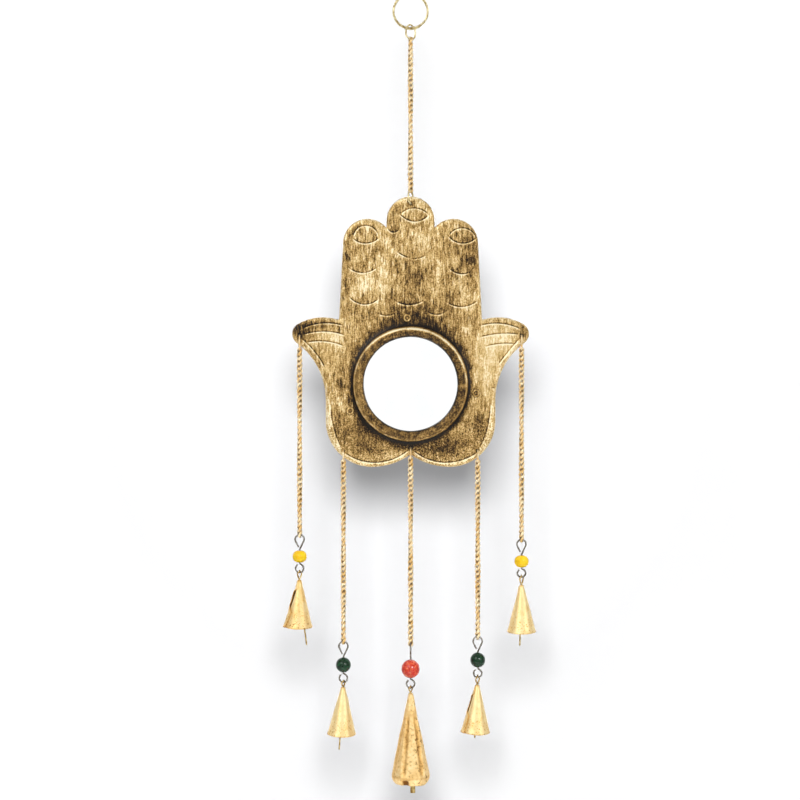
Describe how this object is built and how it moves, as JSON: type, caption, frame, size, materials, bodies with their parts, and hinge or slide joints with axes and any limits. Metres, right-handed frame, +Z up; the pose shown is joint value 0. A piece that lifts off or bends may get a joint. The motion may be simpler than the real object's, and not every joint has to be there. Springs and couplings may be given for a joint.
{
  "type": "hamsa hand ornament",
  "caption": "Hanging hamsa hand of pressed sheet with a round mirror, hung from a split ring by a curb chain, with chains of glass beads and cone bells that swing below it.",
  "frame": {"origin": "the bearing point at the top of the split ring's bore, where a hook carries it", "axes": "+Z up, X to the right as seen from the front, the hand faces -Y"},
  "size_m": [0.1334, 0.0204, 0.4236],
  "materials": {
    "lacquered_iron": "black lacquer dry-brushed with gold",
    "brass_chain": "polished, darkened in the crevices",
    "iron_wire": "dull grey",
    "bell_brass": "brass plated, stained",
    "cast_brass": "matt and pitted",
    "mirror": "silvered glass",
    "tinned_backing": "plain sheet",
    "yellow_glass": "opaque, glossy",
    "green_glass": "very dark, glossy",
    "red_glass": "red and orange marbled, glossy"
  },
  "bodies": {
    "ring": {"hanging_ring": "brass_chain"},
    "ring_link": {"ring_link": "brass_chain"},
    "hanger_upper": {"hanger_chain_upper": "brass_chain"},
    "hanger_lower": {"hanger_chain_lower": "brass_chain"},
    "finger_link": {"finger_link": "brass_chain"},
    "hand": {"hand_plate": "lacquered_iron", "mirror_bezel": "lacquered_iron", "mirror_glass": "mirror", "mirror_backing": "tinned_backing", "mirror_rivets": "lacquered_iron"},
    "left_thumb_hook": {"left_thumb_hook": "brass_chain"},
    "left_thumb_chain_upper": {"left_thumb_chain_upper": "brass_chain"},
    "left_thumb_chain_lower": {"left_thumb_chain_lower": "brass_chain"},
    "left_thumb_pin": {"left_thumb_pin": "iron_wire"},
    "left_thumb_bead": {"left_thumb_bead": "yellow_glass"},
    "left_thumb_clapper": {"left_thumb_clapper": "iron_wire"},
    "left_thumb_bell": {"left_thumb_bell_wire": "iron_wire", "left_thumb_bell": "bell_brass"},
    "left_palm_hook": {"left_palm_hook": "brass_chain"},
    "left_palm_chain_upper": {"left_palm_chain_upper": "brass_chain"},
    "left_palm_chain_lower": {"left_palm_chain_lower": "brass_chain"},
    "left_palm_pin": {"left_palm_pin": "iron_wire"},
    "left_palm_bead": {"left_palm_bead": "green_glass"},
    "left_palm_clapper": {"left_palm_clapper": "iron_wire"},
    "left_palm_bell": {"left_palm_bell_wire": "iron_wire", "left_palm_bell": "bell_brass"},
    "middle_hook": {"middle_hook": "brass_chain"},
    "middle_chain_upper": {"middle_chain_upper": "brass_chain"},
    "middle_chain_lower": {"middle_chain_lower": "brass_chain"},
    "middle_pin": {"middle_pin": "iron_wire"},
    "middle_bead": {"middle_bead": "red_glass"},
    "middle_clapper": {"middle_clapper": "iron_wire"},
    "middle_bell": {"middle_bell_wire": "iron_wire", "middle_bell": "cast_brass"},
    "right_palm_hook": {"right_palm_hook": "brass_chain"},
    "right_palm_chain_upper": {"right_palm_chain_upper": "brass_chain"},
    "right_palm_chain_lower": {"right_palm_chain_lower": "brass_chain"},
    "right_palm_pin": {"right_palm_pin": "iron_wire"},
    "right_palm_bead": {"right_palm_bead": "green_glass"},
    "right_palm_clapper": {"right_palm_clapper": "iron_wire"},
    "right_palm_bell": {"right_palm_bell_wire": "iron_wire", "right_palm_bell": "bell_brass"},
    "right_thumb_hook": {"right_thumb_hook": "brass_chain"},
    "right_thumb_chain_upper": {"right_thumb_chain_upper": "brass_chain"},
    "right_thumb_chain_lower": {"right_thumb_chain_lower": "brass_chain"},
    "right_thumb_pin": {"right_thumb_pin": "iron_wire"},
    "right_thumb_bead": {"right_thumb_bead": "yellow_glass"},
    "right_thumb_clapper": {"right_thumb_clapper": "iron_wire"},
    "right_thumb_bell": {"right_thumb_bell_wire": "iron_wire", "right_thumb_bell": "bell_brass"}
  },
  "joints": [
    {"name": "ring_link_swing", "type": "hinge", "parent": "ring", "child": "ring_link", "pos_m": [0, 0, -0.01755], "axis": [1, 0, 0], "range_deg": [-40, 40]},
    {"name": "hanger_upper_swing", "type": "hinge", "parent": "ring_link", "child": "hanger_upper", "pos_m": [0, 0, -0.02357], "axis": [0.5736, 0.8192, 0], "range_deg": [-30, 30]},
    {"name": "hanger_lower_swing", "type": "hinge", "parent": "hanger_upper", "child": "hanger_lower", "pos_m": [0, 0, -0.06417], "axis": [0.5361, -0.8441, 0], "range_deg": [-18, 18]},
    {"name": "finger_link_swing", "type": "hinge", "parent": "hanger_lower", "child": "finger_link", "pos_m": [0, 0, -0.10412], "axis": [1, 0, 0], "range_deg": [-35, 35]},
    {"name": "hand_swing", "type": "hinge", "parent": "finger_link", "child": "hand", "pos_m": [0, 0, -0.11073], "axis": [0, 1, 0], "range_deg": [-25, 25]},
    {"name": "left_thumb_hook_swing", "type": "hinge", "parent": "hand", "child": "left_thumb_hook", "pos_m": [-0.0588, 0, -0.18003], "axis": [0, 1, 0], "range_deg": [-4, 30]},
    {"name": "left_thumb_chain_swing", "type": "hinge", "parent": "left_thumb_hook", "child": "left_thumb_chain_upper", "pos_m": [-0.0588, 0, -0.18704], "axis": [1, 0, 0], "range_deg": [-50, 50]},
    {"name": "left_thumb_chain_bend", "type": "hinge", "parent": "left_thumb_chain_upper", "child": "left_thumb_chain_lower", "pos_m": [-0.0588, 0, -0.23904], "axis": [1, 0, 0], "range_deg": [-18, 18]},
    {"name": "left_thumb_pin_swing", "type": "hinge", "parent": "left_thumb_chain_lower", "child": "left_thumb_pin", "pos_m": [-0.0588, 0, -0.28679], "axis": [0, 1, 0], "range_deg": [-12, 12]},
    {"name": "left_thumb_bead_spin", "type": "hinge", "parent": "left_thumb_pin", "child": "left_thumb_bead", "pos_m": [-0.0588, 0, -0.29737], "axis": [0, 0, 1], "continuous": true},
    {"name": "left_thumb_bell_swing", "type": "hinge", "parent": "left_thumb_pin", "child": "left_thumb_bell", "pos_m": [-0.0588, 0, -0.30578], "axis": [1, 0, 0], "range_deg": [-50, 50]},
    {"name": "left_thumb_clapper_swing", "type": "hinge", "parent": "left_thumb_bell", "child": "left_thumb_clapper", "pos_m": [-0.05908, 0, -0.31553], "axis": [0, 1, 0], "range_deg": [-5.5, 24.5]},
    {"name": "left_palm_hook_swing", "type": "hinge", "parent": "hand", "child": "left_palm_hook", "pos_m": [-0.0356, 0, -0.24093], "axis": [0, 1, 0], "range_deg": [-7, 7]},
    {"name": "left_palm_chain_swing", "type": "hinge", "parent": "left_palm_hook", "child": "left_palm_chain_upper", "pos_m": [-0.0356, 0, -0.24634], "axis": [1, 0, 0], "range_deg": [-50, 50]},
    {"name": "left_palm_chain_bend", "type": "hinge", "parent": "left_palm_chain_upper", "child": "left_palm_chain_lower", "pos_m": [-0.0356, 0, -0.29574], "axis": [1, 0, 0], "range_deg": [-18, 18]},
    {"name": "left_palm_pin_swing", "type": "hinge", "parent": "left_palm_chain_lower", "child": "left_palm_pin", "pos_m": [-0.0356, 0, -0.34349], "axis": [0, 1, 0], "range_deg": [-15, 15]},
    {"name": "left_palm_bead_spin", "type": "hinge", "parent": "left_palm_pin", "child": "left_palm_bead", "pos_m": [-0.0356, 0, -0.35481], "axis": [0, 0, 1], "continuous": true},
    {"name": "left_palm_bell_swing", "type": "hinge", "parent": "left_palm_pin", "child": "left_palm_bell", "pos_m": [-0.0356, 0, -0.36398], "axis": [1, 0, 0], "range_deg": [-50, 50]},
    {"name": "left_palm_clapper_swing", "type": "hinge", "parent": "left_palm_bell", "child": "left_palm_clapper", "pos_m": [-0.03592, 0, -0.37228], "axis": [0, 1, 0], "range_deg": [-17, 13]},
    {"name": "middle_hook_swing", "type": "hinge", "parent": "hand", "child": "middle_hook", "pos_m": [0, 0, -0.23953], "axis": [0, 1, 0], "range_deg": [-7, 7]},
    {"name": "middle_chain_swing", "type": "hinge", "parent": "middle_hook", "child": "middle_chain_upper", "pos_m": [0, 0, -0.24494], "axis": [1, 0, 0], "range_deg": [-50, 50]},
    {"name": "middle_chain_bend", "type": "hinge", "parent": "middle_chain_upper", "child": "middle_chain_lower", "pos_m": [0, 0, -0.29694], "axis": [1, 0, 0], "range_deg": [-18, 18]},
    {"name": "middle_pin_swing", "type": "hinge", "parent": "middle_chain_lower", "child": "middle_pin", "pos_m": [0, 0, -0.34371], "axis": [0, 1, 0], "range_deg": [-15, 15]},
    {"name": "middle_bead_spin", "type": "hinge", "parent": "middle_pin", "child": "middle_bead", "pos_m": [0, 0, -0.35692], "axis": [0, 0, 1], "continuous": true},
    {"name": "middle_bell_swing", "type": "hinge", "parent": "middle_pin", "child": "middle_bell", "pos_m": [0, 0, -0.367], "axis": [1, 0, 0], "range_deg": [-50, 50]},
    {"name": "middle_clapper_swing", "type": "hinge", "parent": "middle_bell", "child": "middle_clapper", "pos_m": [0, 0, -0.37628], "axis": [0, 1, 0], "range_deg": [-7.5, 10.5]},
    {"name": "right_palm_hook_swing", "type": "hinge", "parent": "hand", "child": "right_palm_hook", "pos_m": [0.0356, 0, -0.24093], "axis": [0, 1, 0], "range_deg": [-7, 6]},
    {"name": "right_palm_chain_swing", "type": "hinge", "parent": "right_palm_hook", "child": "right_palm_chain_upper", "pos_m": [0.0356, 0, -0.24634], "axis": [1, 0, 0], "range_deg": [-50, 50]},
    {"name": "right_palm_chain_bend", "type": "hinge", "parent": "right_palm_chain_upper", "child": "right_palm_chain_lower", "pos_m": [0.0356, 0, -0.29574], "axis": [1, 0, 0], "range_deg": [-18, 18]},
    {"name": "right_palm_pin_swing", "type": "hinge", "parent": "right_palm_chain_lower", "child": "right_palm_pin", "pos_m": [0.0356, 0, -0.34089], "axis": [0, 1, 0], "range_deg": [-15, 15]},
    {"name": "right_palm_bead_spin", "type": "hinge", "parent": "right_palm_pin", "child": "right_palm_bead", "pos_m": [0.0356, 0, -0.35221], "axis": [0, 0, 1], "continuous": true},
    {"name": "right_palm_bell_swing", "type": "hinge", "parent": "right_palm_pin", "child": "right_palm_bell", "pos_m": [0.0356, 0, -0.36138], "axis": [1, 0, 0], "range_deg": [-50, 50]},
    {"name": "right_palm_clapper_swing", "type": "hinge", "parent": "right_palm_bell", "child": "right_palm_clapper", "pos_m": [0.03513, 0, -0.37112], "axis": [0, 1, 0], "range_deg": [-15.5, 14.5]},
    {"name": "right_thumb_hook_swing", "type": "hinge", "parent": "hand", "child": "right_thumb_hook", "pos_m": [0.0588, 0, -0.18003], "axis": [0, 1, 0], "range_deg": [-30, 4]},
    {"name": "right_thumb_chain_swing", "type": "hinge", "parent": "right_thumb_hook", "child": "right_thumb_chain_upper", "pos_m": [0.0588, 0, -0.18704], "axis": [1, 0, 0], "range_deg": [-50, 50]},
    {"name": "right_thumb_chain_bend", "type": "hinge", "parent": "right_thumb_chain_upper", "child": "right_thumb_chain_lower", "pos_m": [0.0588, 0, -0.23904], "axis": [1, 0, 0], "range_deg": [-18, 18]},
    {"name": "right_thumb_pin_swing", "type": "hinge", "parent": "right_thumb_chain_lower", "child": "right_thumb_pin", "pos_m": [0.0588, 0, -0.28939], "axis": [0, 1, 0], "range_deg": [-12, 12]},
    {"name": "right_thumb_bead_spin", "type": "hinge", "parent": "right_thumb_pin", "child": "right_thumb_bead", "pos_m": [0.0588, 0, -0.29997], "axis": [0, 0, 1], "continuous": true},
    {"name": "right_thumb_bell_swing", "type": "hinge", "parent": "right_thumb_pin", "child": "right_thumb_bell", "pos_m": [0.0588, 0, -0.30838], "axis": [1, 0, 0], "range_deg": [-50, 50]},
    {"name": "right_thumb_clapper_swing", "type": "hinge", "parent": "right_thumb_bell", "child": "right_thumb_clapper", "pos_m": [0.0588, 0, -0.31814], "axis": [0, 1, 0], "range_deg": [-17, 13]}
  ]
}
